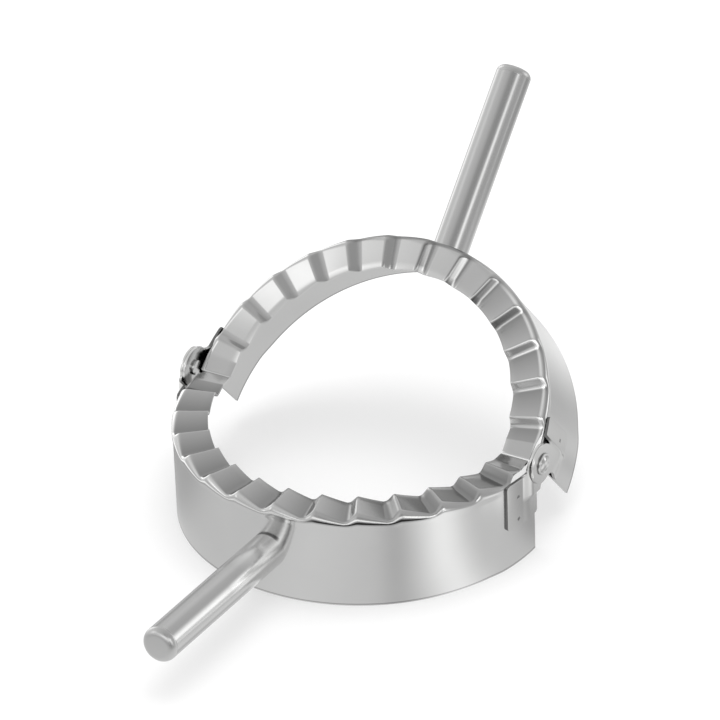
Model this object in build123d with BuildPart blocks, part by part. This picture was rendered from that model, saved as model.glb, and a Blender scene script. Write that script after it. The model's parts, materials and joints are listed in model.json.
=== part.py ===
"""A ravioli mold: two identical crimping halves with tubular handles, joined by two rivets.

Millimetres, +Z up. The front half stands on its cutting edge and the rear half is raised about the
hinge axis. The origin is the bottom centre of the whole mold's box.
Each half is modelled in its own seat: X along the hinge axis, Y towards the handle, Z up from the
cutting edge. A piece that stands at both ends of the hinge has its own X towards its end.
"""

from build123d import *
from dataclasses import dataclass
from math import asin, atan, ceil, cos, degrees, radians, sin, sqrt, tan
import os

os.makedirs("parts", exist_ok=True)

# Pose in which the mold stands
lift_angle = 41.0

# Wall and flange of one half, drawn from one sheet
ring_radius = 60.0
sheet = 0.8
hinge_height = 31.4
end_gap = 0.3
flange_inner_radius = 48.5
section_step = 3.4

# Crimping teeth of the flange
crimp_gap = 0.4
tooth_count = 13
tooth_pitch = 13.0
tooth_rise_angle = 3.0
tooth_height = 2.6
valley_bend = 1.0
peak_bend = 2.2

# Relief at each hinge end, where the flange is slit free of the wall
relief_length = 13.5
relief_slit = 1.3
wall_end_drop = 1.8

# Hinge leaves
leaf_sheet = 0.8
leaf_seam = 0.06
leaf_length = 15.2
leaf_drop = 1.2
inner_leaf_depth = 17.4
outer_leaf_depth = 18.8
leaf_corner = 1.2
ear_radius = 6.4
ear_neck = 4.0
ear_shoulder = 1.5
ear_clearance = 0.1
inner_ear_offset = 1.3
inner_joggle_length = 3.9
inner_taper_bottom = 12.0
outer_joggle_length = 2.4
outer_taper_clearance = 1.2

# Rivets
rivet_radius = 1.6
rivet_fit = 0.05
rivet_head_radius = 3.5
rivet_head_rim = 0.3
rivet_dome = 1.0
rivet_set_radius = 2.5
rivet_set_height = 0.7

# Handles
handle_radius = 5.7
handle_sheet = 0.8
handle_reach = 64.2
handle_rise = 3.0
handle_height = 16.2
cap_height = 2.4
cap_rim = 1.6
cap_spigot = 4.0
plug_fit = 0.03
bush_length = 14.0
screw_radius = 2.0
screw_fit = 0.05
screw_reach = 10.0
screw_head_radius = 4.0
screw_head_height = 2.0
screw_head_rim = 0.6
screw_socket = 1.4
screw_socket_depth = 1.2
wall_hole_radius = 2.4

# Worked out from the sizes above
wall_inner_radius = ring_radius - sheet
wall_end_height = hinge_height - wall_end_drop
leaf_radius = ring_radius + leaf_seam
inner_ear_x = ring_radius + inner_ear_offset
outer_ear_x = inner_ear_x + leaf_sheet + ear_clearance
inner_joggle_start = rivet_set_radius + ear_clearance
inner_taper_top = ear_radius + 2 * ear_clearance
outer_joggle_start = ear_radius + 4 * ear_clearance
outer_taper_top = ear_radius + outer_taper_clearance
leaf_loft_margin = ear_radius
plug_radius = handle_radius - handle_sheet - plug_fit
cap_start = handle_reach - cap_height
lift = radians(lift_angle)
rise = radians(handle_rise)

# The screw's flat head bears on the hollow wall at its rim, and it leans with the handle
screw_head_sag = wall_inner_radius - sqrt(wall_inner_radius**2 - screw_head_radius**2)
screw_seat = sheet + screw_head_sag + screw_head_radius * tan(rise) + screw_fit


def tip_reach(turn):
    """How far the handle's rounded tip is from the hinge axis, level, with its half raised by turn."""
    rim_along = handle_reach - cap_rim
    out = ring_radius + rim_along * cos(rise)
    up = handle_height + rim_along * sin(rise) - hinge_height
    rim_out = out * cos(turn) - up * sin(turn)
    return rim_out + (handle_radius - cap_rim) * sin(turn + rise) + cap_rim


hinge_y = (tip_reach(0) - tip_reach(lift)) / 2
hinge_axis = Axis((0, hinge_y, hinge_height), (1, 0, 0))

front_seat = Plane(origin=(0, hinge_y, 0), x_dir=(-1, 0, 0), z_dir=(0, 0, 1))
rear_foot = (0, hinge_y + hinge_height * sin(lift), hinge_height * (1 - cos(lift)))
rear_seat = Plane(origin=rear_foot, x_dir=(1, 0, 0), z_dir=(0, -sin(lift), cos(lift)))


def in_seat(seat, plane):
    """A plane given in a half's own seat, as a plane of the whole mold."""
    return Plane(seat.location * plane.location)


def radial_plane(seat, angle):
    """The upright plane through the ring's centre line at this angle: X outwards, Y up."""
    out_x = cos(radians(angle))
    out_y = sin(radians(angle))
    return in_seat(seat, Plane(origin=(0, 0, 0), x_dir=(out_x, out_y, 0), z_dir=(out_y, -out_x, 0)))


def level_plane(seat, height, end=1):
    """A plane parallel to the cutting edge: X towards one end of the hinge, Y towards the handle."""
    return in_seat(seat, Plane(origin=(0, 0, height), x_dir=(end, 0, 0), z_dir=(0, 0, end)))


def side_plane(seat):
    """The plane square to the hinge axis at the middle of the mold: X towards the handle, Y up."""
    return in_seat(seat, Plane(origin=(0, 0, hinge_height), x_dir=(0, 1, 0), z_dir=(1, 0, 0)))


def handle_plane(seat, along):
    """The plane square to the handle, this far out from the wall."""
    centre = (0, ring_radius + along * cos(rise), handle_height + along * sin(rise))
    return in_seat(seat, Plane(origin=centre, x_dir=(1, 0, 0), z_dir=(0, cos(rise), sin(rise))))


def flange_sections():
    """Angle and height of each section of the flange, the height in shares of half a tooth."""
    half_rise = tooth_rise_angle / 2
    half_fall = (tooth_pitch - tooth_rise_angle) / 2
    end_angle = degrees(asin(end_gap / wall_inner_radius))
    first_tooth = 90 - tooth_pitch * (tooth_count - 1) / 2
    last_tooth = 180 - first_tooth
    corners = [(end_angle, 0.0), (first_tooth - half_rise - half_fall, 0.0)]
    for tooth in range(tooth_count):
        middle = first_tooth + tooth * tooth_pitch
        corners.append((middle - half_rise, -1.0))
        corners.append((middle + half_rise, 1.0))
    corners.append((last_tooth + half_rise + half_fall, 0.0))
    corners.append((180 - end_angle, 0.0))
    sections = []
    for (start, low), (stop, high) in zip(corners, corners[1:]):
        spans = ceil((stop - start) / section_step)
        for span in range(spans):
            share = span / spans
            sections.append((start + (stop - start) * share, low + (high - low) * share))
    sections.append(corners[-1])
    return sections


def shell_profile(level):
    """Wall, rolled bend and flange in a radial plane, with the flange at this share of half a tooth."""
    top = hinge_height - crimp_gap / 2 + level * tooth_height / 2
    bend = (valley_bend + peak_bend) / 2 + level * (peak_bend - valley_bend) / 2
    bend_centre = (ring_radius - bend, top - bend)
    with BuildLine() as outline:
        Line((ring_radius, 0), (ring_radius, bend_centre[1]))
        CenterArc(bend_centre, bend, 0, 90)
        Polyline(
            (bend_centre[0], top),
            (flange_inner_radius, top),
            (flange_inner_radius, top - sheet),
            (bend_centre[0], top - sheet),
        )
        CenterArc(bend_centre, bend - sheet, 0, 90)
        Polyline(
            (wall_inner_radius, bend_centre[1]),
            (wall_inner_radius, 0),
            (ring_radius, 0),
        )
    return outline.edges()


def relief_outline():
    """Plan of the slit at one hinge end, which narrows to nothing away from the hinge."""
    beyond = ring_radius + relief_slit
    with BuildLine() as outline:
        Polyline(
            (wall_inner_radius - relief_slit, -relief_slit),
            (beyond, -relief_slit),
            (beyond, relief_length),
            (sqrt(ring_radius**2 - relief_length**2), relief_length),
            close=True,
        )
    return outline.edges()


@dataclass
class LeafForm:
    """What differs between the two leaves of a half."""

    name: str
    end: int
    ear_x: float
    joggle_start: float
    joggle_length: float
    taper_top: float
    taper_bottom: float
    depth: float


# The outer leaf stands at the seat's own +X end and the inner leaf at the other end
leaf_forms = (
    LeafForm(
        name="outer_leaf",
        end=1,
        ear_x=outer_ear_x,
        joggle_start=outer_joggle_start,
        joggle_length=outer_joggle_length,
        taper_top=outer_taper_top,
        taper_bottom=outer_leaf_depth,
        depth=outer_leaf_depth,
    ),
    LeafForm(
        name="inner_leaf",
        end=-1,
        ear_x=inner_ear_x,
        joggle_start=inner_joggle_start,
        joggle_length=inner_joggle_length,
        taper_top=inner_taper_top,
        taper_bottom=inner_taper_bottom,
        depth=inner_leaf_depth,
    ),
)


def leaf_plan(form, plate_x):
    """A leaf cut level: its ear plate at plate_x, the joggle, and the stretch along the wall."""
    joggle_start = form.joggle_start
    joggle_end = form.joggle_start + form.joggle_length
    joggle_angle = degrees(asin(joggle_end / leaf_radius))
    tip_angle = degrees(asin(leaf_length / leaf_radius))
    wall_x = sqrt(leaf_radius**2 - joggle_end**2)
    joggle_slope = atan((plate_x - wall_x) / form.joggle_length)
    outer_shift = leaf_sheet * tan(joggle_slope / 2)
    outer_radius = leaf_radius + leaf_sheet
    outer_angle = joggle_angle + degrees(outer_shift / outer_radius)
    ear_edge = -2 * ear_radius
    with BuildLine() as outline:
        inside = CenterArc((0, 0), leaf_radius, joggle_angle, tip_angle - joggle_angle)
        outside = CenterArc((0, 0), outer_radius, outer_angle, tip_angle - outer_angle)
        Polyline(
            inside @ 0,
            (plate_x, joggle_start),
            (plate_x, ear_edge),
            (plate_x + leaf_sheet, ear_edge),
            (plate_x + leaf_sheet, joggle_start + outer_shift),
            outside @ 0,
        )
        Line(inside @ 1, outside @ 1)
    return outline.edges()


def leaf_side(depth):
    """A leaf seen along the hinge axis, in the sketch that is open: round ear, neck, and plate."""
    plate_end = end_gap + leaf_seam
    Circle(ear_radius)
    with Locations(((leaf_length + plate_end) / 2, -(depth + leaf_drop) / 2)):
        Rectangle(leaf_length - plate_end, depth - leaf_drop)


for side, seat in (("front", front_seat), ("rear", rear_seat)):
    handle_axis = Axis(handle_plane(seat, 0).origin, handle_plane(seat, 0).z_dir)

    # Wall and crimping flange
    with BuildPart() as shell:
        for angle, level in flange_sections():
            with BuildSketch(radial_plane(seat, angle)):
                make_face(shell_profile(level))
        loft(ruled=True)
        for end in (1, -1):
            with BuildSketch(level_plane(seat, wall_end_height, end)):
                make_face(relief_outline())
            extrude(amount=end * tooth_height, mode=Mode.SUBTRACT)
        with BuildSketch(handle_plane(seat, 0)):
            Circle(wall_hole_radius)
        extrude(amount=2 * sheet, both=True, mode=Mode.SUBTRACT)
    shell.part.label = f"{side}_shell"
    export_step(shell.part, f"parts/{side}_shell.step")

    # Hinge leaves
    for form in leaf_forms:
        levels = (
            (-form.depth - leaf_loft_margin, leaf_radius),
            (-form.taper_bottom, leaf_radius),
            (-form.taper_top, form.ear_x),
            (ear_radius + leaf_loft_margin, form.ear_x),
        )
        with BuildPart() as leaf:
            for height, plate_x in levels:
                with BuildSketch(level_plane(seat, hinge_height + height, form.end)):
                    make_face(leaf_plan(form, plate_x))
            loft(ruled=True)
            with BuildSketch(side_plane(seat)) as outline:
                leaf_side(form.depth)
                shoulder = outline.vertices().group_by(Axis.Y)[-1].sort_by(Axis.X)[0]
                neck = outline.vertices().group_by(Axis.X)[0].sort_by(Axis.Y)[-1]
                fillet(shoulder, ear_shoulder)
                fillet(neck, ear_neck)
                fillet(outline.vertices().group_by(Axis.Y)[0], leaf_corner)
                fillet(outline.vertices().group_by(Axis.X)[-1].sort_by(Axis.Y)[-1], leaf_corner)
            extrude(amount=2 * ring_radius, both=True, mode=Mode.INTERSECT)
            with BuildSketch(side_plane(seat)):
                Circle(rivet_radius + rivet_fit)
            extrude(amount=2 * ring_radius, both=True, mode=Mode.SUBTRACT)
        leaf.part.label = f"{side}_{form.name}"
        export_step(leaf.part, f"parts/{side}_{form.name}.step")

    # Handle tube, cut to the round of the wall at its inner end
    with BuildPart() as tube:
        with BuildSketch(handle_plane(seat, -2 * sheet)):
            Circle(handle_radius)
            Circle(handle_radius - handle_sheet, mode=Mode.SUBTRACT)
        extrude(amount=cap_start + 2 * sheet)
        with BuildSketch(level_plane(seat, 0)):
            Circle(ring_radius)
        extrude(amount=hinge_height, mode=Mode.SUBTRACT)
    tube.part.label = f"{side}_handle_tube"
    export_step(tube.part, f"parts/{side}_handle_tube.step")

    # Handle cap: a disc with a rounded rim, on a spigot that plugs the tube
    with BuildPart() as cap:
        with BuildSketch(handle_plane(seat, cap_start - cap_spigot)):
            Circle(plug_radius)
        extrude(amount=cap_spigot)
        with BuildSketch(handle_plane(seat, cap_start)):
            Circle(handle_radius)
        extrude(amount=cap_height)
        fillet(cap.edges().sort_by(handle_axis)[-1], cap_rim)
    cap.part.label = f"{side}_handle_cap"
    export_step(cap.part, f"parts/{side}_handle_cap.step")

    # Threaded bush in the tube's inner end
    with BuildPart() as bush:
        with BuildSketch(handle_plane(seat, -2 * sheet)):
            Circle(plug_radius)
            Circle(screw_radius + screw_fit, mode=Mode.SUBTRACT)
        extrude(amount=bush_length + 2 * sheet)
        with BuildSketch(level_plane(seat, 0)):
            Circle(ring_radius)
        extrude(amount=hinge_height, mode=Mode.SUBTRACT)
    bush.part.label = f"{side}_handle_bush"
    export_step(bush.part, f"parts/{side}_handle_bush.step")

    # Screw from inside the wall, with a round head and a six-sided socket
    with BuildPart() as screw:
        with BuildSketch(handle_plane(seat, -screw_seat - screw_head_height)):
            Circle(screw_head_radius)
        extrude(amount=screw_head_height)
        fillet(screw.edges().sort_by(handle_axis)[0], screw_head_rim)
        with BuildSketch(handle_plane(seat, -screw_seat)):
            Circle(screw_radius)
        extrude(amount=screw_seat + screw_reach)
        with BuildSketch(handle_plane(seat, -screw_seat - screw_head_height)):
            RegularPolygon(screw_socket, 6)
        extrude(amount=screw_socket_depth, mode=Mode.SUBTRACT)
    screw.part.label = f"{side}_handle_screw"
    export_step(screw.part, f"parts/{side}_handle_screw.step")

# Rivets: a domed head outside, a shank through both ears, and a flat set head inside
inner_face = inner_ear_x - rivet_fit
outer_face = outer_ear_x + leaf_sheet + rivet_fit
head_rim_x = outer_face + rivet_head_rim
head_top_x = head_rim_x + rivet_dome

for side, end in (("right", 1), ("left", -1)):
    hinge_point = (0, hinge_y, hinge_height)
    with BuildPart() as rivet:
        with BuildSketch(Plane(origin=hinge_point, x_dir=(end, 0, 0), z_dir=(0, -end, 0))):
            with BuildLine():
                Polyline(
                    (head_top_x, 0),
                    (inner_face - rivet_set_height, 0),
                    (inner_face - rivet_set_height, rivet_set_radius),
                    (inner_face, rivet_set_radius),
                    (inner_face, rivet_radius),
                    (outer_face, rivet_radius),
                    (outer_face, rivet_head_radius),
                    (head_rim_x, rivet_head_radius),
                )
                TangentArc((head_top_x, 0), (head_rim_x, rivet_head_radius), tangent=(0, 1))
            make_face()
        revolve(axis=hinge_axis)
    rivet.part.label = f"{side}_rivet"
    export_step(rivet.part, f"parts/{side}_rivet.step")
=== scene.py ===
"""Looks of a ravioli mold: two polished crimping half rings, tubular handles and a riveted hinge."""

import json
import logging
import math
from collections.abc import Callable, Iterable
from dataclasses import dataclass
from enum import Enum, IntEnum
from typing import TypeAlias

import bmesh
import bpy
from bmesh.types import BMEdge, BMesh, BMVert
from mathutils import Matrix, Vector


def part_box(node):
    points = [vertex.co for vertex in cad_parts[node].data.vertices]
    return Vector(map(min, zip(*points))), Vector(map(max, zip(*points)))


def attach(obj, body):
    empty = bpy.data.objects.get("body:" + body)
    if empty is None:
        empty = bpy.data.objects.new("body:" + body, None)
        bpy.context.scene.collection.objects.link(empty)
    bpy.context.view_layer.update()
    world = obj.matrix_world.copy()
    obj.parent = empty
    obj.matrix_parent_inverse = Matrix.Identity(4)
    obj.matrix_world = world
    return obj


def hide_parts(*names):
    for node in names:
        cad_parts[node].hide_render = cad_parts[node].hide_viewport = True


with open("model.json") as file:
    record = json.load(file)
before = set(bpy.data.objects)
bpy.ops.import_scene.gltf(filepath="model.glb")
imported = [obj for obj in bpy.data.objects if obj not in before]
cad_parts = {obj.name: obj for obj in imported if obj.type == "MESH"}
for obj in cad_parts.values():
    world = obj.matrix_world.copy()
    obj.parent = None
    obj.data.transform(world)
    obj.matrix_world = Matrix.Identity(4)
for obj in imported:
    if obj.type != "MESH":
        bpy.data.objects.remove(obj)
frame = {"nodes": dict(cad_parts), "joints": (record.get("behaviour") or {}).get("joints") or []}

log = logging.getLogger("ravioli_mold")

Number: TypeAlias = "Value | float"
Pair: TypeAlias = tuple[float, float]
Span: TypeAlias = tuple[float, float, float, float]
Rows: TypeAlias = tuple[float, ...]

MM = 0.001
MERGE = 1e-7
LEAST_ROUGHNESS = 0.03
ROUNDED_FROM = math.radians(60)
# Mesh attribute that holds painted shade, and painted highlights as values below 0.
SHADE = "shade"
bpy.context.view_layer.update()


class Side(Enum):
    """The two halves of the mold."""

    FRONT = "front"
    REAR = "rear"


class LeafKind(Enum):
    """The two hinge leaves of a half, at the plus and the minus X end of its seat."""

    OUTER = "outer"
    INNER = "inner"


class Hand(Enum):
    """The two ends of the hinge."""

    RIGHT = "right"
    LEFT = "left"


class Part(IntEnum):
    """The parts of a shell's radial profile."""

    WALL = 0
    BEND = 1
    FLANGE = 2


FOLD = frame["joints"][0]
HINGE = Vector(FOLD["pos_m"])
LIFT = -math.radians(FOLD["range_deg"][0])
SHELL_LOW, SHELL_HIGH = (Vector(corner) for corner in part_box("front_shell"))
RING_RADIUS = (SHELL_HIGH.x - SHELL_LOW.x) / 2


@dataclass(frozen=True)
class Seat:
    """Where a half stands: X along the hinge, Y towards its handle, Z up from its cutting edge.

    Args:
        side: which half it is.
        body: the body that its pieces ride on.
        turn: how far the half is turned about the upright, in radians.
        lift: how far the half is raised about the hinge axis, in radians.
    """

    side: Side
    body: str
    turn: float
    lift: float

    def matrix(self) -> Matrix:
        """The transform from the seat's own coordinates to the mold's."""
        rotation = Matrix.Rotation(self.lift, 4, "X") @ Matrix.Rotation(self.turn, 4, "Z")
        return Matrix.Translation(HINGE) @ rotation @ Matrix.Translation((0, 0, -HINGE.z))


def maths(operation: str, swapped: bool = False) -> Callable:
    """Makes an arithmetic method of Value.

    Args:
        operation: the Math node's operation.
        swapped: whether the other number comes first.

    Returns:
        The method.
    """

    def method(self: "Value", other: Number) -> "Value":
        """Adds the Math node and returns its result."""
        first, second = (other, self) if swapped else (self, other)
        return self.shader.node("Math", {0: first, 1: second}, {"operation": operation})

    return method


class Value:
    """A shader socket that carries a number and takes part in Python arithmetic."""

    def __init__(self, shader: "Shader", socket: bpy.types.NodeSocket) -> None:
        """Keeps the shader that the socket is in, and the socket."""
        self.shader = shader
        self.socket = socket

    __add__ = __radd__ = maths("ADD")
    __sub__ = maths("SUBTRACT")
    __rsub__ = maths("SUBTRACT", swapped=True)
    __mul__ = maths("MULTIPLY")
    __truediv__ = maths("DIVIDE")
    __pow__ = maths("POWER")
    at_least = maths("MAXIMUM")
    at_most = maths("MINIMUM")
    angle_from = maths("ARCTAN2")


class Shader:
    """The node tree of one material or of the world."""

    def __init__(self, tree: bpy.types.NodeTree) -> None:
        """Takes over an empty node tree.

        Args:
            tree: the tree that nodes are added to.
        """
        self.tree = tree
        self.tree.nodes.clear()

    def node(
        self,
        kind: str,
        sockets: dict | None = None,
        settings: dict | None = None,
        out: int | str = 0,
    ) -> Value:
        """Adds one node.

        Args:
            kind: the node's type, without its ShaderNode prefix.
            sockets: values or links of its inputs, by name or number.
            settings: properties that are set first.
            out: the output that is returned.

        Returns:
            The chosen output.
        """
        made = self.tree.nodes.new(f"ShaderNode{kind}")
        for name, value in (settings or {}).items():
            setattr(made, name, value)
        for name, value in (sockets or {}).items():
            if isinstance(value, Value):
                self.tree.links.new(value.socket, made.inputs[name])
            else:
                made.inputs[name].default_value = value
        return Value(self, made.outputs[out] if made.outputs else None)

    def axes(self, vector: Value) -> tuple[Value, Value, Value]:
        """The three coordinates of a vector, as numbers."""
        split = self.node("SeparateXYZ", {0: vector}).socket.node
        return tuple(Value(self, output) for output in split.outputs)

    def join(self, x: Number, y: Number, z: Number) -> Value:
        """A vector made of three numbers."""
        return self.node("CombineXYZ", {0: x, 1: y, 2: z})

    def noise(self, place: Value, scale: float, detail: float, roughness: float) -> Value:
        """A smooth random pattern from 0 to 1."""
        sockets = {"Vector": place, "Scale": scale, "Detail": detail, "Roughness": roughness}
        return self.node("TexNoise", sockets)

    def coordinates(self, kind: str = "Object") -> Value:
        """The coordinates of the shaded place."""
        return self.node("TexCoord", out=kind)

    def glossy(self) -> Value:
        """1 where a reflection looks, and 0 elsewhere."""
        return self.node("LightPath", out="Is Glossy Ray")


def grey(level: float) -> tuple[float, float, float, float]:
    """An opaque grey of this linear level."""
    return (level, level, level, 1.0)


def placed(name: str, data: bpy.types.ID) -> bpy.types.Object:
    """Puts a new object with this data into the scene."""
    made = bpy.data.objects.new(name, data)
    bpy.context.scene.collection.objects.link(made)
    return made


@dataclass(frozen=True)
class SteelFinish:
    """A bare steel surface.

    Args:
        name: the material's name.
        colour: linear base colour of the clean metal.
        roughness: mean roughness.
        roughness_spread: how far smudges move the roughness.
        grain: depth of the fine drawn lines, in metres.
        grain_pitch: distance between those lines, in metres.
        grain_length: length of those lines, in metres.
        grain_roughness: how far those lines move the roughness.
        wave: depth of the slow unevenness that pressing leaves, in metres.
        wave_size: width of that unevenness, in metres.
        smudge_size: width of the smudges, in metres.
        tarnish: share by which smudges darken the metal.
        clean: level of the smudges up to which the metal stays clean.
        painted_shade: share of the mesh's shade attribute, painted shade and highlights, that darkens the
            metal.
        stretch: how much longer reflections are across the rolling direction than along it.
    """

    name: str
    colour: tuple[float, float, float]
    roughness: float
    roughness_spread: float = 0.04
    grain: float = 0.0000004
    grain_pitch: float = 0.00025
    grain_length: float = 0.02
    grain_roughness: float = 0.03
    wave: float = 0.000004
    wave_size: float = 0.012
    smudge_size: float = 0.018
    tarnish: float = 0.04
    clean: float = 0.35
    painted_shade: float = 0.0
    stretch: float = 0.0

    def material(self, seat: Seat | None = None, along: Vector | None = None) -> bpy.types.Material:
        """Makes the material.

        Args:
            seat: the half whose own coordinates the pattern follows, or None for the mold's.
            along: direction of the drawn lines in those coordinates; None runs them round the ring.

        Returns:
            The new material.
        """
        label = self.name if seat is None else f"{self.name}_{seat.side.value}"
        made = bpy.data.materials.new(label)
        made.use_nodes = True
        shader = Shader(made.node_tree)
        place = self._own_coordinates(shader, seat)
        smudge = shader.noise(place, 1 / self.smudge_size, detail=3.0, roughness=0.55)
        slow = shader.noise(place, 1 / self.wave_size, detail=1.0, roughness=0.4)
        lines = self._drawn_lines(shader, place, along)
        roughness = self.roughness + (smudge - 0.5) * self.roughness_spread * 2
        roughness = roughness + (lines - 0.5) * self.grain_roughness
        light = 1.0 - (smudge - self.clean).at_least(0.0) * self.tarnish * 2
        # Painted shade and painted highlights: the mesh's shade attribute darkens or lightens the base
        # colour.
        if self.painted_shade:
            painted_mark = shader.node("Attribute", settings={"attribute_name": SHADE}, out="Fac")
            light = light * (1.0 - painted_mark * self.painted_shade)
        base = shader.node(
            "Mix", {0: 1.0, 6: (*self.colour, 1.0), 7: shader.join(light, light, light)},
            {"data_type": "RGBA", "blend_type": "MULTIPLY"}, out=2,
        )
        height = slow * (self.wave / MM) + lines * (self.grain / MM)
        bump = shader.node("Bump", {"Strength": 1.0, "Distance": MM, "Height": height})
        roughness = roughness.at_least(LEAST_ROUGHNESS)
        steel = shader.node("BsdfPrincipled", {
            "Base Color": base, "Metallic": 1.0, "Roughness": roughness, "Normal": bump,
            "Anisotropic": self.stretch, "Anisotropic Rotation": 0.25,
        })
        shader.node("OutputMaterial", {"Surface": steel})
        return made

    def _own_coordinates(self, shader: Shader, seat: Seat | None) -> Value:
        """The coordinates that the pattern is laid out in, in metres."""
        place = shader.coordinates()
        if seat is None:
            return place
        inverse = seat.matrix().inverted()
        moved = {"Location": inverse.to_translation(), "Rotation": inverse.to_euler("XYZ")}
        return shader.node("Mapping", {"Vector": place, **moved})

    def _drawn_lines(self, shader: Shader, place: Value, along: Vector | None) -> Value:
        """Fine lines, drawn out along one direction or round the ring."""
        x, y, z = shader.axes(place)
        if along is None:
            round_ring = y.angle_from(x) * (RING_RADIUS / self.grain_length)
            radius = (x * x + y * y) ** 0.5
            stretched = shader.join(round_ring, radius / self.grain_pitch, z / self.grain_pitch)
        else:
            across = [self.grain_pitch if abs(axis) < 0.5 else self.grain_length for axis in along]
            stretched = shader.join(x / across[0], y / across[1], z / across[2])
        return shader.noise(stretched, 1.0, detail=2.0, roughness=0.6)


SHEET_STEEL = SteelFinish(
    name="polished_sheet", colour=(0.55, 0.55, 0.547), roughness=0.15, stretch=0.9, wave=0.000002, painted_shade=1.0,
)
LEAF_STEEL = SteelFinish(
    name="leaf_steel", colour=(0.53, 0.53, 0.525), roughness=0.2, stretch=0.6, painted_shade=1.0,
)
TUBE_STEEL = SteelFinish(
    name="handle_steel", colour=(0.55, 0.55, 0.547), roughness=0.2, wave=0.000001, painted_shade=1.0,
)
CAP_STEEL = SteelFinish(name="cap_steel", colour=(0.55, 0.55, 0.547), roughness=0.32, wave=0.000001)
RIVET_STEEL = SteelFinish(
    name="rivet_steel", colour=(0.55, 0.55, 0.545), roughness=0.16, wave=0.000002, wave_size=0.003,
)
BUSH_STEEL = SteelFinish(name="turned_steel", colour=(0.5, 0.5, 0.5), roughness=0.3, grain=0.000002)
SCREW_STEEL = SteelFinish(name="screw_steel", colour=(0.5, 0.5, 0.51), roughness=0.26)


def finished_mesh(
    name: str,
    shape: BMesh,
    material: bpy.types.Material,
    matrix: Matrix,
    sharp: float,
    thickness: float = 0.0,
    round_edge: float = 0.0,
    shade: Callable[[Vector, Vector], float] | None = None,
) -> bpy.types.Object:
    """Turns a bmesh into a finished piece with its place in its mesh.

    Args:
        name: the piece's name.
        shape: the bmesh, in metres in its own seat; it is freed.
        material: its finish.
        matrix: the transform from the seat to the mold.
        sharp: angle over which an edge stays sharp, in degrees.
        thickness: how far an open sheet is thickened inwards, in metres.
        round_edge: radius of the small round on sharp edges, in metres.
        shade: painted shade of a face, below 0 a painted highlight, from its centre and normal in the seat.

    Returns:
        The new object.
    """
    mesh = bpy.data.meshes.new(name)
    shape.to_mesh(mesh)
    shape.free()
    piece = placed(name, mesh)
    if thickness:
        thicken = piece.modifiers.new("sheet", "SOLIDIFY")
        thicken.thickness = thickness
        thicken.offset = -1.0
        thicken.use_even_offset = True
    if round_edge:
        rounding = piece.modifiers.new("edge", "BEVEL")
        rounding.width = round_edge
        rounding.segments = 2
        rounding.limit_method = "ANGLE"
        rounding.angle_limit = ROUNDED_FROM
    if piece.modifiers:
        graph = bpy.context.evaluated_depsgraph_get()
        done = bpy.data.meshes.new_from_object(piece.evaluated_get(graph))
        piece.modifiers.clear()
        piece.data = done
        bpy.data.meshes.remove(mesh)
        mesh = done
    if shade:
        marks = mesh.attributes.new(SHADE, "FLOAT", "FACE")
        for polygon in mesh.polygons:
            marks.data[polygon.index].value = shade(polygon.center, polygon.normal)
    mesh.transform(matrix)
    mesh.shade_smooth()
    mesh.set_sharp_from_angle(angle=math.radians(sharp))
    mesh.materials.append(material)
    return piece


def spun(shape: BMesh, points: list[BMVert], axis: tuple, angle: float, steps: int) -> None:
    """Joins points to an outline and spins it about an axis through the origin.

    Args:
        shape: the bmesh that holds the points.
        points: the outline's corners; one that ends with its first corner is closed.
        axis: direction of the axis.
        angle: how far it goes, in radians; after a whole turn it joins itself.
        steps: number of flats.
    """
    edges = [shape.edges.new(pair) for pair in zip(points, points[1:])]
    geometry = list(dict.fromkeys(points)) + edges
    whole = angle == 2 * math.pi
    bmesh.ops.spin(shape, geom=geometry, axis=axis, angle=angle, steps=steps, use_merge=whole)


def turned(profile: Iterable[Pair], steps: int) -> BMesh:
    """Spins an outline about the X axis.

    Args:
        profile: places along the axis and radii, from one end on the axis to the other.
        steps: number of flats round the piece.

    Returns:
        The closed shape.
    """
    shape = bmesh.new()
    points = [shape.verts.new((along, 0.0, radius)) for along, radius in profile]
    spun(shape, points, (1, 0, 0), 2 * math.pi, steps)
    bmesh.ops.remove_doubles(shape, verts=shape.verts, dist=MERGE)
    bmesh.ops.recalc_face_normals(shape, faces=shape.faces)
    return shape


def ring(shape: BMesh, segments: int, radius: float) -> list[BMVert]:
    """Adds a circle round the X axis and returns its corners."""
    made = bmesh.ops.create_circle(shape, cap_ends=False, segments=segments, radius=radius)["verts"]
    bmesh.ops.rotate(shape, verts=made, matrix=Matrix.Rotation(math.pi / 2, 3, "Y"))
    return made


def arc(centre: Pair, radius: float, start: float, stop: float, steps: int) -> list[Pair]:
    """Points on an arc of an outline, from start to stop in degrees."""
    angles = [math.radians(start + (stop - start) * step / steps) for step in range(steps + 1)]
    return [(centre[0] + radius * math.cos(a), centre[1] + radius * math.sin(a)) for a in angles]


def rising(value: float, start: float, stop: float) -> float:
    """0 before start, 1 after stop, and a smooth rise between."""
    share = min(max((value - start) / (stop - start), 0.0), 1.0)
    return share * share * (3 - 2 * share)


def falling(value: float, start: float, stop: float) -> float:
    """1 before start, 0 after stop, and a smooth fall between."""
    return 1 - rising(value, start, stop)


def window(value: float, start: float, full: float, fading: float, stop: float) -> float:
    """0 outside start and stop, 1 from full to fading, and smooth between."""
    return rising(value, start, full) * falling(value, fading, stop)


@dataclass(frozen=True)
class Stripe:
    """A soft stripe of painted shade between two places, or with a strength below 0 a painted highlight."""

    strength: float
    start: float
    stop: float

    def at(self, value: float) -> float:
        """The stripe's strength at a place."""
        offset = (value - (self.start + self.stop) / 2) / ((self.stop - self.start) / 2)
        return self.strength * max(1 - offset * offset, 0.0) ** 2


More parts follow.
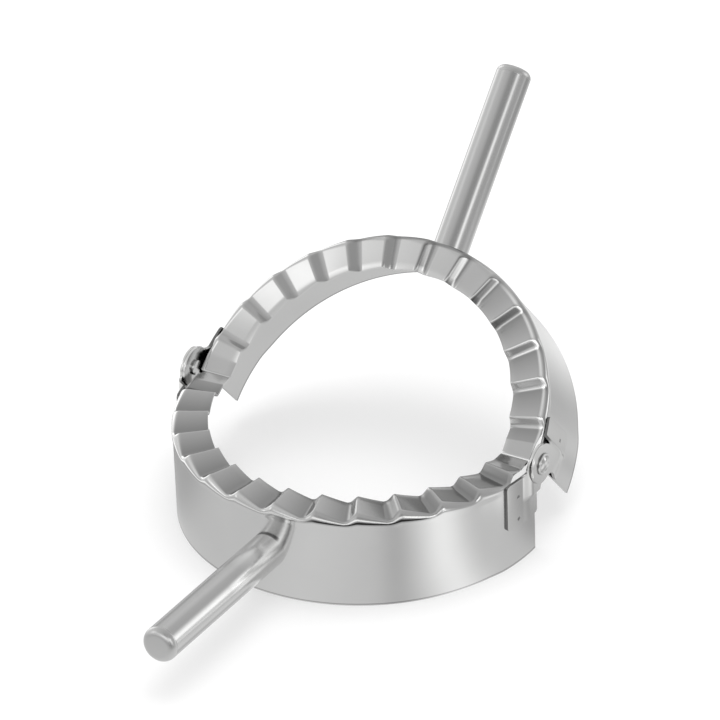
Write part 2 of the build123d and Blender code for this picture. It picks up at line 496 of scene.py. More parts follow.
@dataclass
class CrimpShell:
    """One half ring: an upright wall, a rolled rim and a flange with saw-tooth crimps.

    Angles are in degrees round the half from its plus X end. Spans and painted shades and highlights are laid
    out over such angles, over the share along a part of the profile, or in millimetres inwards from the wall.
    """

    seat: Seat
    sheet: float = 0.8 * MM
    end_gap: float = 0.3 * MM
    flange_inner_radius: float = 48.5 * MM
    crimp_gap: float = 0.4 * MM
    tooth_count: int = 13
    tooth_pitch: float = 13.0
    tooth_rise: float = 3.0
    tooth_height: float = 2.6 * MM
    valley_bend: float = 1.0 * MM
    peak_bend: float = 2.9 * MM
    rim_softness: float = 1.5
    flange_softness: float = 1.2
    peak_softness: float = 0.35
    softening_samples: int = 11
    relief_length: float = 13.5 * MM
    relief_slit: float = 1.3 * MM
    relief_margin: float = 1.15
    relief_depth: float = 5.0 * MM
    wall_end_drop: float = 1.8 * MM
    wall_inset: float = 0.4 * MM
    inset_ends: Pair = (15.0, 22.0)
    inset_top: Pair = (0.935, 1.0)
    flat_blend: Pair = (0.4, 1.0)
    column_step: float = 0.5
    edge_round: float = 0.12 * MM
    wall_rows: Rows = (
        0.0, 0.009, 0.013, 0.022, 0.026, 0.1, 0.3, 0.5, 0.7, 0.85, 0.92, 0.94, 0.96, 0.98,
    )
    bend_rows: Rows = (
        0.0, 0.03, 0.06, 0.09, 0.12, 0.16, *(0.2 + 0.8 * step / 10 for step in range(11)),
    )
    flange_rows: Rows = (0.03, 0.06, 0.1, 0.15, 0.22, 0.3, 0.5, 0.75, 1.0)
    # Painted shade: a thin dark contact line just above the wall's foot.
    painted_foot_line: float = 0.4
    foot_span: Pair = (0.01, 0.024)
    # Painted shade in the crimps' valleys and on their steep facets.
    valley_shade: float = 0.4
    valley_least: float = 0.15
    valley_fade: Pair = (50.0, 85.0)
    steep_shade: float = 0.3
    steep_step: float = 0.4
    steep_softness: float = 0.5
    steep_change: Pair = (0.1, 0.9)
    crease_softness: float = 0.6
    crease_blend: Pair = (0.55, 1.0)
    # Painted glint: lightens the steep facets near the plus X end.
    painted_glint: float = 0.0
    glint_fade: Pair = (40.0, 48.0)
    # Painted highlights and painted shade along the rear rim's edge and on the upper steep facets.
    painted_edge_light: float = 0.0
    upper_shade: float = 0.75
    upper_level: Pair = (0.1, 0.6)
    upper_span: Span = (50.0, 60.0, 92.0, 104.0)
    right_painted_lines: tuple[Stripe, ...] = (Stripe(0.25, 0.1, 0.9), Stripe(-0.8, 0.8, 2.3))
    right_fade: Pair = (52.0, 68.0)
    back_shade: float = 0.45
    back_width: Pair = (0.9, 1.7)
    back_span: Span = (72.0, 78.0, 116.0, 122.0)
    # Painted shade and highlights on the front rim's bend: a dark line in the middle, light and dark stripes
    # on the left.
    painted_rim_light: float = 0.0
    dark_width: Span = (-0.04, 0.05, 0.12, 0.25)
    dark_span: Span = (100.0, 106.0, 136.0, 142.0)
    left_painted_lines: tuple[Stripe, ...] = (
        Stripe(0.3, -0.05, 0.07), Stripe(-0.75, 0.05, 0.25),
        Stripe(0.25, 0.23, 0.39), Stripe(-0.3, 0.4, 0.85),
    )
    left_painted_fade: Pair = (98.0, 104.0)

    @property
    def first_tooth(self) -> float:
        """Angle at which the crimps start."""
        return 90 - self.tooth_pitch * self.tooth_count / 2

    def level(self, angle: float) -> float:
        """Height of the crimps at an angle, from -1 in a valley to 1 on a peak."""
        if angle <= self.first_tooth or angle >= 180 - self.first_tooth:
            return 0.0
        half_fall = (self.tooth_pitch - self.tooth_rise) / 2
        place = (angle - self.first_tooth) % self.tooth_pitch
        if place < half_fall:
            return -place / half_fall
        if place < half_fall + self.tooth_rise:
            return -1 + 2 * (place - half_fall) / self.tooth_rise
        return 1 - (place - half_fall - self.tooth_rise) / half_fall

    def soft_level(self, angle: float, softness: float) -> float:
        """The crimps' height with its corners rounded, over this many degrees each way in the valleys."""
        depth = (1 - self.level(angle)) / 2
        reach = self.peak_softness + (softness - self.peak_softness) * depth * depth
        last = self.softening_samples - 1
        offsets = [reach * (2 * k / last - 1) for k in range(self.softening_samples)]
        return sum(self.level(angle + offset) for offset in offsets) / self.softening_samples

    def outline(self) -> list[tuple[Part, float]]:
        """Rows of the radial profile: the part that each is on and the share along it."""
        rows = {Part.WALL: self.wall_rows, Part.BEND: self.bend_rows, Part.FLANGE: self.flange_rows}
        return [(part, share) for part, shares in rows.items() for share in shares]

    def place(self, part: Part, share: float, angle: float) -> Pair:
        """Radius and height of a profile point at an angle."""
        rim = self.soft_level(angle, self.rim_softness)
        flat = self.soft_level(angle, self.flange_softness)
        bend = self.valley_bend + (rim + 1) / 2 * (self.peak_bend - self.valley_bend)
        middle = HINGE.z - self.crimp_gap / 2
        rim_top = middle + rim * self.tooth_height / 2
        flat_top = middle + flat * self.tooth_height / 2
        if part is Part.WALL:
            inset = self.wall_inset * rising(min(angle, 180 - angle), *self.inset_ends)
            return RING_RADIUS - inset * falling(share, *self.inset_top), share * (rim_top - bend)
        if part is Part.BEND:
            turn = share * math.pi / 2
            top = rim_top + (flat_top - rim_top) * rising(share, *self.flat_blend)
            return RING_RADIUS - bend * (1 - math.cos(turn)), top - bend * (1 - math.sin(turn))
        start = RING_RADIUS - bend
        return start + (self.flange_inner_radius - start) * share, flat_top

    def _painted_crimp_shade(self, angle: float) -> float:
        """Painted shade in the crimps' valleys and steep facets, less where a painted glint lightens them."""
        before = self.soft_level(angle - self.steep_step, self.steep_softness)
        after = self.soft_level(angle + self.steep_step, self.steep_softness)
        steep = rising(after - before, *self.steep_change)
        level = self.soft_level(angle, self.crease_softness)
        upper = rising(level, *self.upper_level) * steep * window(angle, *self.upper_span)
        painted_shade = self.painted_edge_light * self.upper_shade * upper
        if min(angle, 180 - angle) < self.first_tooth:
            return painted_shade
        depth = self.valley_least + (1 - self.valley_least) * (1 - level) / 2
        valley = self.valley_shade * falling(angle, *self.valley_fade) * depth
        glint = self.painted_glint * falling(angle, *self.glint_fade)
        return painted_shade + valley * (1 - steep) + (self.steep_shade - glint) * steep

    def _painted_edge_lines(self, inwards: float, angle: float) -> float:
        """Painted bright and dark lines along the rim's edge, from the millimetres inwards from the wall."""
        right = sum(stripe.at(inwards) for stripe in self.right_painted_lines) * falling(angle, *self.right_fade)
        return right + self.back_shade * falling(inwards, *self.back_width) * window(angle, *self.back_span)

    def shade(self, part: Part, share: float, angle: float) -> float:
        """Painted shade at a profile point, or below 0 a painted highlight."""
        if part is Part.WALL:
            start, stop = self.foot_span
            return self.painted_foot_line if start < share < stop else 0.0
        radius, _ = self.place(part, share, angle)
        edge = self.painted_edge_light * self._painted_edge_lines((RING_RADIUS - radius) / MM, angle)
        painted_shade = self._painted_crimp_shade(angle)
        if part is Part.FLANGE:
            return painted_shade + edge
        line = window(share, *self.dark_width) * window(angle, *self.dark_span)
        line += sum(stripe.at(share) for stripe in self.left_painted_lines) * falling(angle, *self.left_painted_fade)
        return self.painted_rim_light * line + edge + painted_shade * rising(share, *self.crease_blend)

    def mesh(self) -> BMesh:
        """The outside of the sheet, in the seat's own coordinates."""
        shape = bmesh.new()
        parts = shape.verts.layers.float.new("part")
        shares = shape.verts.layers.float.new("share")
        shades = shape.verts.layers.float.new(SHADE)
        first = math.asin(self.end_gap / (RING_RADIUS - self.sheet))
        points = []
        for index, (part, share) in enumerate(self.outline()):
            vert = shape.verts.new((RING_RADIUS, 0.0, index * MM))
            vert[parts] = part
            vert[shares] = share
            points.append(vert)
        bmesh.ops.rotate(shape, verts=points, matrix=Matrix.Rotation(first, 3, "Z"))
        span = math.pi - 2 * first
        spun(shape, points, (0, 0, 1), span, round(math.degrees(span) / self.column_step))
        for vert in shape.verts:
            angle = math.atan2(vert.co.y, vert.co.x)
            profile = (Part(round(vert[parts])), vert[shares], math.degrees(angle))
            radius, height = self.place(*profile)
            vert.co = (radius * math.cos(angle), radius * math.sin(angle), height)
            vert[shades] = self.shade(*profile)
        self._slit(shape)
        bmesh.ops.recalc_face_normals(shape, faces=shape.faces)
        wall_face = min(shape.faces, key=lambda face: face.calc_center_median().z)
        centre = wall_face.calc_center_median()
        if wall_face.normal.dot(Vector((centre.x, centre.y, 0))) < 0:
            bmesh.ops.reverse_faces(shape, faces=shape.faces)
        return shape

    def _slit(self, shape: BMesh) -> None:
        """Cuts the flange free of the wall at both hinge ends and lowers the wall there."""
        wall_end = HINGE.z - self.wall_end_drop
        inner = RING_RADIUS - self.sheet - self.relief_slit
        apex_x = math.sqrt(RING_RADIUS**2 - self.relief_length**2)
        for end in (1, -1):
            start = Vector((end * inner, 0.0, 0.0))
            run = Vector((end * apex_x, self.relief_length, 0.0)) - start
            outward = Vector((run.y * end, -run.x * end, 0.0)).normalized()
            for point, normal in ((start, outward), ((0, 0, wall_end), (0, 0, 1))):
                near = self._near_end(shape, end)
                bmesh.ops.bisect_plane(shape, geom=near, dist=MERGE, plane_co=point, plane_no=normal)
            gone = []
            for face in shape.faces:
                centre = face.calc_center_median()
                beyond = (centre - start).dot(outward) > 0
                if centre.x * end > 0 and centre.y < self.relief_length and beyond and centre.z > wall_end:
                    gone.append(face)
            bmesh.ops.delete(shape, geom=gone, context="FACES")

    def _near_end(self, shape: BMesh, end: int) -> list:
        """The faces next to one hinge end, with their edges and corners."""
        limit = self.relief_length * self.relief_margin
        low = HINGE.z - self.relief_depth
        faces = []
        for face in shape.faces:
            centre = face.calc_center_median()
            if centre.x * end > 0 and centre.y < limit and centre.z > low:
                faces.append(face)
        edges = list({edge for face in faces for edge in face.edges})
        verts = list({vert for face in faces for vert in face.verts})
        return faces + edges + verts

    def build(self) -> bpy.types.Object:
        """Makes the finished shell, gives it its body and hides the CAD shell."""
        name = f"{self.seat.side.value}_shell"
        material = SHEET_STEEL.material(self.seat)
        piece = finished_mesh(
            f"{name}_pressed", self.mesh(), material, self.seat.matrix(),
            sharp=60.0, thickness=self.sheet, round_edge=self.edge_round,
        )
        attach(piece, self.seat.body)
        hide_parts(name)
        return piece


@dataclass
class HingeLeaf:
    """A plate welded outside the wall, stepped out to a round ear on the hinge axis."""

    seat: Seat
    kind: LeafKind
    sheet: float = 0.8 * MM
    seam: float = 0.06 * MM
    length: float = 15.2 * MM
    drop: float = 1.2 * MM
    end_gap: float = 0.36 * MM
    ear_radius: float = 6.4 * MM
    neck: float = 4.0 * MM
    shoulder: float = 1.5 * MM
    corner: float = 1.2 * MM
    hole_radius: float = 1.65 * MM
    inner_offset: float = 1.3 * MM
    ear_clearance: float = 0.1 * MM
    cell: float = 0.3 * MM
    edge_round: float = 0.2 * MM
    weld_radius: float = 0.7 * MM
    weld_depth: float = 0.16 * MM
    # Painted shade at the weld dimples and on the cut edges, and a painted highlight on the ear's cut edges.
    spot_radius: float = 0.58 * MM
    spot_shade: float = 0.6
    edge_shade: float = 0.65
    edge_turn: float = 0.3
    ear_shine: float = 0.39
    ear_reach: Pair = (7.0 * MM, 8.5 * MM)

    @property
    def plate_x(self) -> float:
        """Distance of the ear's inside face from the middle of the hinge."""
        inner = RING_RADIUS + self.inner_offset
        return inner if self.kind is LeafKind.INNER else inner + self.sheet + self.ear_clearance

    @property
    def weld_places(self) -> tuple[Pair, ...]:
        """Y and Z of the weld marks, from the hinge axis."""
        if self.seat.side is Side.REAR and self.kind is LeafKind.OUTER:
            return (11.4 * MM, -12.8 * MM), (8.0 * MM, -16.8 * MM)
        return (10.4 * MM, -7.0 * MM), (10.4 * MM, -14.8 * MM)

    @property
    def depth(self) -> float:
        """How far the plate reaches below the hinge axis."""
        return 17.4 * MM if self.kind is LeafKind.INNER else 18.8 * MM

    @property
    def joggle(self) -> Pair:
        """Where the step out to the ear starts and ends, along Y."""
        return (4.4 * MM, 8.3 * MM) if self.kind is LeafKind.INNER else (6.8 * MM, 9.2 * MM)

    @property
    def taper(self) -> Pair:
        """Depths between which the step fades into the wall."""
        return (8.6 * MM, 10.4 * MM) if self.kind is LeafKind.INNER else (7.6 * MM, 18.8 * MM)

    def outline(self) -> list[Pair]:
        """The plate seen along the hinge axis: Y and Z from the axis, counterclockwise."""
        r, low, edge = self.ear_radius, -self.depth, self.end_gap
        neck_centre_y = edge - self.neck
        neck_centre_z = -math.sqrt((r + self.neck) ** 2 - neck_centre_y**2)
        neck_angle = math.degrees(math.atan2(neck_centre_z, neck_centre_y))
        shoulder_z = -self.drop + self.shoulder
        shoulder_y = math.sqrt((r + self.shoulder) ** 2 - shoulder_z**2)
        shoulder_angle = math.degrees(math.atan2(shoulder_z, shoulder_y))
        c = self.corner
        points = arc((0, 0), r, shoulder_angle, 360 + neck_angle, 48)
        points += arc((neck_centre_y, neck_centre_z), self.neck, neck_angle + 180, 0, 10)[1:]
        points += arc((edge + c, low + c), c, 180, 270, 5)
        points += arc((self.length - c, low + c), c, 270, 360, 5)
        points += arc((self.length - c, -self.drop - c), c, 0, 90, 5)
        points += arc((shoulder_y, shoulder_z), self.shoulder, 270, 180 + shoulder_angle, 6)[:-1]
        return points

    def _weld_distance(self, y: float, z: float) -> float:
        """Distance of a place on the plate from the nearest weld mark."""
        return min(math.hypot(y - weld_y, z - weld_z) for weld_y, weld_z in self.weld_places)

    def offset(self, y: float, z: float) -> float:
        """Distance of the plate's inside face from the middle of the hinge, at a place on it."""
        flush = RING_RADIUS + self.seam
        wall = math.sqrt(flush**2 - max(y, 0.0) ** 2)
        stepped = flush + (self.plate_x - flush) * falling(-z, *self.taper)
        dent = self.weld_depth * falling(self._weld_distance(y, z), 0.0, self.weld_radius)
        return wall + (stepped - wall) * falling(y, *self.joggle) - dent

    def shade(self, centre: Vector, normal: Vector) -> float:
        """Painted shade at a weld dimple or a cut edge, or below 0 a painted highlight on the ear's edge."""
        y, z = centre.y, centre.z - HINGE.z
        if self._weld_distance(y, z) < self.spot_radius:
            return self.spot_shade
        if abs(normal.x) >= self.edge_turn:
            return 0.0
        beyond = rising(math.hypot(y, z), *self.ear_reach)
        return self.edge_shade * beyond - self.ear_shine * (1 - beyond)

    def mesh(self) -> BMesh:
        """The inside face of the plate, cut into small cells and set on the wall."""
        shape = bmesh.new()
        shape.faces.new([shape.verts.new((0.0, y, z)) for y, z in self.outline()])
        ring(shape, segments=32, radius=self.hole_radius)
        rims = list(shape.edges)
        bmesh.ops.delete(shape, geom=list(shape.faces), context="FACES_ONLY")
        bmesh.ops.triangle_fill(shape, use_beauty=True, edges=rims)
        low_y, high_y = -self.ear_radius, self.length
        for step in range(1, int((high_y - low_y) / self.cell)):
            self._cut(shape, (0, low_y + step * self.cell, 0), (0, 1, 0))
        for step in range(1, int((self.depth + self.ear_radius) / self.cell)):
            self._cut(shape, (0, 0, -self.depth + step * self.cell), (0, 0, 1))
        for vert in shape.verts:
            vert.co.x = self.offset(vert.co.y, vert.co.z)
            vert.co.z += HINGE.z
        if self.kind is LeafKind.INNER:
            bmesh.ops.scale(shape, verts=shape.verts, vec=(-1, 1, 1))
        self._face_inwards(shape)
        return shape

    @staticmethod
    def _cut(shape: BMesh, point: tuple, normal: tuple) -> None:
        """Cuts every face along a plane."""
        everything = list(shape.faces) + list(shape.edges) + list(shape.verts)
        bmesh.ops.bisect_plane(shape, geom=everything, dist=MERGE, plane_co=point, plane_no=normal)

    @staticmethod
    def _face_inwards(shape: BMesh) -> None:
        """Turns the faces towards the middle of the hinge, so that thickening goes outwards."""
        bmesh.ops.recalc_face_normals(shape, faces=shape.faces)
        total = sum(face.normal.x * face.calc_center_median().x for face in shape.faces)
        if total > 0:
            bmesh.ops.reverse_faces(shape, faces=shape.faces)

    def build(self, material: bpy.types.Material) -> bpy.types.Object:
        """Makes the finished leaf.

        Args:
            material: its finish.

        Returns:
            The piece.
        """
        name = f"{self.seat.side.value}_{self.kind.value}_leaf"
        piece = finished_mesh(
            f"{name}_plate", self.mesh(), material, self.seat.matrix(),
            sharp=50.0, thickness=self.sheet, round_edge=self.edge_round, shade=self.shade,
        )
        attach(piece, self.seat.body)
        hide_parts(name)
        return piece


@dataclass
class HingeRivet:
    """A rivet through two ears: domed outside, set flat inside."""

    hand: Hand
    body: str
    radius: float = 1.6 * MM
    inner_face: float = 1.25 * MM
    outer_face: float = 3.05 * MM
    set_radius: float = 2.5 * MM
    set_height: float = 0.7 * MM
    head_radius: float = 3.5 * MM
    head_rim: float = 0.55 * MM
    groove_radius: float = 2.5 * MM
    groove_depth: float = 0.3 * MM
    dome: float = 1.0 * MM
    rim_round: float = 0.25 * MM
    groove_width: float = 0.4 * MM

    def profile(self) -> list[Pair]:
        """The rivet's outline along the hinge axis, from the set head to the dome."""
        low = RING_RADIUS + self.inner_face
        high = RING_RADIUS + self.outer_face
        back = low - self.set_height
        rim = high + self.head_rim
        groove = rim - self.groove_depth
        soft = self.rim_round
        dome_radius = (self.groove_radius**2 + self.dome**2) / (2 * self.dome)
        span = math.degrees(math.asin(self.groove_radius / dome_radius))
        points = [(back, 0.0)]
        points += arc((back + soft, self.set_radius - soft), soft, 180, 90, 4)
        points += [(low, self.set_radius), (low, self.radius)]
        points += [(high, self.radius), (high, self.head_radius - soft / 2)]
        points += arc((high + soft / 2, self.head_radius - soft / 2), soft / 2, 180, 90, 3)[1:]
        points += arc((rim - soft, self.head_radius - soft), soft, 90, 0, 5)
        points += arc((rim - soft, self.groove_radius + self.groove_width), soft, 0, -60, 4)
        points += arc((groove + self.dome - dome_radius, 0.0), dome_radius, span, 0, 14)
        return points

    def build(self, material: bpy.types.Material) -> bpy.types.Object:
        """Makes the finished rivet.

        Args:
            material: its finish.

        Returns:
            The piece.
        """
        name = f"{self.hand.value}_rivet"
        shape = turned(self.profile(), steps=64)
        place = Matrix.Translation(HINGE)
        if self.hand is Hand.LEFT:
            place = place @ Matrix.Rotation(math.pi, 4, "Z")
        piece = finished_mesh(f"{name}_domed", shape, material, place, sharp=40.0)
        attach(piece, self.body)
        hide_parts(name)
        return piece


@dataclass
class Handle:
    """A tubular handle: tube, end cap, threaded bush and the screw that holds it."""

    seat: Seat
    radius: float = 5.69 * MM
    sheet: float = 0.8 * MM
    reach: float = 64.19 * MM
    rise: float = math.radians(3.0)
    height: float = 16.2 * MM
    cap_height: float = 2.4 * MM
    cap_rim: float = 2.3 * MM
    edge_round: float = 0.06 * MM
    wall_sink: float = 0.42 * MM
    overrun: float = 2.0 * MM
    cap_spigot: float = 4.0 * MM
    plug_fit: float = 0.03 * MM
    screw_radius: float = 2.0 * MM
    screw_reach: float = 10.0 * MM
    tip_round: float = 0.4 * MM
    head_radius: float = 4.0 * MM
    head_height: float = 2.0 * MM
    head_rim: float = 0.6 * MM
    head_gap: float = 0.05 * MM
    face_share: float = 0.55
    socket_radius: float = 1.4 * MM
    socket_depth: float = 1.2 * MM
    flats: int = 96
    shade_rows: Rows = (0.4, 0.9, 2.0, 5.0, 9.0, 13.0, 17.0, 21.0, 25.0, 30.0)
    # Painted shade and highlights: a painted shadow line along the top of the joint with the wall on every
    # tube; scaled by painted_light_share, painted highlights near the root and along a band, painted shade on
    # the flanks.
    painted_light_share: float = 0.0
    seam_shade: float = 0.8
    seam_width: Pair = (0.3, 0.9)
    seam_turn: Pair = (120.0, 135.0)
    root_shine: float = 0.3
    root_width: Pair = (12.0, 22.0)
    band_shine: float = 0.5
    band_width: Pair = (22.0, 31.0)
    band_turn: Span = (128.0, 140.0, 162.0, 175.0)
    left_shade: float = 0.45
    left_turn: Pair = (66.0, 80.0)
    under_shade: float = 0.35
    under_turn: Pair = (180.0, 192.0)

    def axis(self) -> Matrix:
        """From coordinates with X out along the handle, starting at the wall, to the seat's own."""
        turn = Matrix.Rotation(math.pi / 2, 4, "Z") @ Matrix.Rotation(-self.rise, 4, "Y")
        return Matrix.Translation((0, RING_RADIUS, self.height)) @ turn

    def shade(self, along: float, turn: float) -> float:
        """The tube's painted shade, below 0 a painted highlight, at this many millimetres along and degrees
        round it.
        """
        turn = turn % 360.0
        root = falling(along, *self.root_width)
        band = window(turn, *self.band_turn) * falling(along, *self.band_width)
        shine = self.root_shine * root + self.band_shine * band
        flank = self.left_shade * falling(turn, *self.left_turn)
        flank += self.under_shade * rising(turn, *self.under_turn)
        seam = self.seam_shade * falling(along, *self.seam_width) * falling(turn, *self.seam_turn)
        return seam + (1 - seam) * self.painted_light_share * (flank * (1 - root) - shine)

    def tube(self) -> BMesh:
        """The tube, with its inner end cut to the round of the wall."""
        shape = bmesh.new()
        stop = self.reach - self.cap_height
        inner = self.radius - self.sheet
        soft = self.edge_round
        outline = [(-self.overrun, inner), (-self.overrun, self.radius)]
        outline += [(row * MM, self.radius) for row in self.shade_rows]
        outline += [(stop - soft, self.radius), (stop, self.radius - soft), (stop, inner)]
        points = [shape.verts.new((along, 0.0, radius)) for along, radius in outline]
        spun(shape, points + points[:1], (1, 0, 0), 2 * math.pi, self.flats)
        bmesh.ops.recalc_face_normals(shape, faces=shape.faces)
        shades = shape.verts.layers.float.new(SHADE)
        for vert in shape.verts:
            vert[shades] = self.shade(vert.co.x / MM, math.degrees(math.atan2(vert.co.z, -vert.co.y)))
        to_seat = self.axis()
        back = to_seat.inverted()
        outwards = (to_seat.to_3x3() @ Vector((1, 0, 0))).normalized()
        for vert in shape.verts:
            if vert.co.x < 0:
                point = to_seat @ vert.co
                reach = math.sqrt((RING_RADIUS - self.wall_sink)**2 - point.x**2)
                point += outwards * ((reach - point.y) / outwards.y)
                vert.co = back @ point
        return shape

    def cap(self) -> BMesh:
        """The end cap: a plug and a disc with a well rounded rim."""
        start = self.reach - self.cap_height
        plug = self.radius - self.sheet - self.plug_fit
        soft = self.edge_round
        points = [(start - self.cap_spigot, 0.0), (start - self.cap_spigot, plug), (start, plug)]
        points += [(start, self.radius - soft), (start + soft, self.radius)]
        points += arc((self.reach - self.cap_rim, self.radius - self.cap_rim), self.cap_rim, 90, 0, 14)
        points += [(self.reach, 0.0)]
        return turned(points, steps=self.flats)

    def screw(self) -> BMesh:
        """The screw, its head inside the wall, with a six-sided socket."""
        wall_inner = RING_RADIUS - self.sheet
        sag = wall_inner - math.sqrt(wall_inner**2 - self.head_radius**2)
        under = -(self.sheet + sag + self.head_radius * math.tan(self.rise) + self.head_gap)
        top = under - self.head_height
        tip = self.screw_radius - self.tip_round
        points = [(top, self.head_radius * self.face_share)]
        points += arc((top + self.head_rim, self.head_radius - self.head_rim), self.head_rim, 180, 90, 6)
        points += [(under, self.head_radius), (under, self.screw_radius)]
        points += [(self.screw_reach - self.tip_round, self.screw_radius), (self.screw_reach, tip)]
        points += [(self.screw_reach, 0.0)]
        shape = turned(points, steps=48)
        open_rim = [edge for edge in shape.edges if edge.is_boundary]
        socket = ring(shape, segments=6, radius=self.socket_radius)
        bmesh.ops.translate(shape, verts=socket, vec=(top, 0, 0))
        mouth = list({edge for vert in socket for edge in vert.link_edges})
        bmesh.ops.bridge_loops(shape, edges=open_rim + mouth)
        deep = bmesh.ops.extrude_edge_only(shape, edges=mouth)["geom"]
        floor = [item for item in deep if isinstance(item, BMVert)]
        bmesh.ops.translate(shape, verts=floor, vec=(self.socket_depth, 0, 0))
        bmesh.ops.contextual_create(shape, geom=[e for e in deep if isinstance(e, BMEdge)])
        bmesh.ops.recalc_face_normals(shape, faces=shape.faces)
        return shape

    def build(self) -> list[bpy.types.Object]:
        """Makes the handle's pieces, gives them their body, hides the CAD pieces and refinishes the bush."""
        side = self.seat.side.value
        place = self.seat.matrix() @ self.axis()
        steel = TUBE_STEEL.material(self.seat, along=Vector((0, 1, 0)))
        tube = finished_mesh(f"{side}_tube_drawn", self.tube(), steel, place, sharp=35.0)
        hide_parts(f"{side}_handle_tube")
        cap_steel = CAP_STEEL.material(self.seat, along=Vector((0, 1, 0)))
        cap = finished_mesh(f"{side}_cap_rounded", self.cap(), cap_steel, place, sharp=35.0)
        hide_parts(f"{side}_handle_cap")
        screw_steel = SCREW_STEEL.material(self.seat)
        screw = finished_mesh(f"{side}_screw_socketed", self.screw(), screw_steel, place, sharp=35.0)
        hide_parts(f"{side}_handle_screw")
        for piece, slot in ((tube, "handle_steel"), (cap, "handle_steel"), (screw, "screw_steel")):
            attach(piece, self.seat.body)
        bush = frame["nodes"][f"{side}_handle_bush"]
        bush.data.materials.clear()
        bush.data.materials.append(BUSH_STEEL.material(self.seat))
        return [tube, cap, screw]


# Share of a patch's half width at which half of its strength is left.
HALF_STRENGTH = 0.625
SMALLEST_RADIUS = 0.001


def sideways(azimuth: float, half_width: float, x: Value, y: Value) -> Value:
    """1 in one direction on the floor or in the sky, falling off smoothly over a width, all in degrees."""
    middle = math.radians(azimuth)
    radius = ((x * x + y * y) ** 0.5).at_least(SMALLEST_RADIUS)
    along = (x * math.sin(middle) - y * math.cos(middle)) / radius
    power = math.log(0.5) / math.log(math.cos(math.radians(half_width) * HALF_STRENGTH))
    return along.at_least(0.0) ** power


def zone(radius: Value, start: float, stop: float) -> Value:
    """0 up to start, 1 from stop on, and a straight rise between; stop may be the nearer one."""
    return ((radius - start) / (stop - start)).at_least(0.0).at_most(1.0)


@dataclass(frozen=True)
class Glow:
    """A soft bright or dark patch of the surround that the metal mirrors.

    Args:
        azimuth: direction of its middle, in degrees from -Y towards +X.
        elevation: height of its middle, in degrees.
        half_width: how far it reaches to each side, in degrees.
        half_height: how far it reaches up and down, in degrees.
        level: what it adds to the surround.
    """

    azimuth: float
    elevation: float
    half_width: float
    half_height: float
    level: float

    def share(self, x: Value, y: Value, z: Value) -> Value:
        """The patch's level in a direction, given by its three coordinates."""
        middle = math.sin(math.radians(self.elevation))
        reach = math.sin(math.radians(self.half_height))
        offset = (z - middle) / reach
        upright = (1.0 - offset * offset).at_least(0.0)
        across = (sideways(self.azimuth, self.half_width, x, y) * 2.0).at_most(1.0)
        return across * upright * upright * self.level


@dataclass(frozen=True)
class FloorPatch:
    """A brighter or darker part of the floor that the metal mirrors.

    Args:
        azimuth: direction of its middle from the mold, in degrees from -Y towards +X.
        half_width: how far it reaches to each side, in degrees.
        level: what it adds to the floor.
        start: distance from the mold where it has no effect yet, in metres.
        stop: distance where it has its full effect, which may be the nearer one, in metres.
    """

    azimuth: float
    half_width: float
    level: float
    start: float
    stop: float

    def share(self, x: Value, y: Value, radius: Value) -> Value:
        """The patch's level at a place on the floor."""
        across = sideways(self.azimuth, self.half_width, x, y)
        return across * zone(radius, self.start, self.stop) * self.level


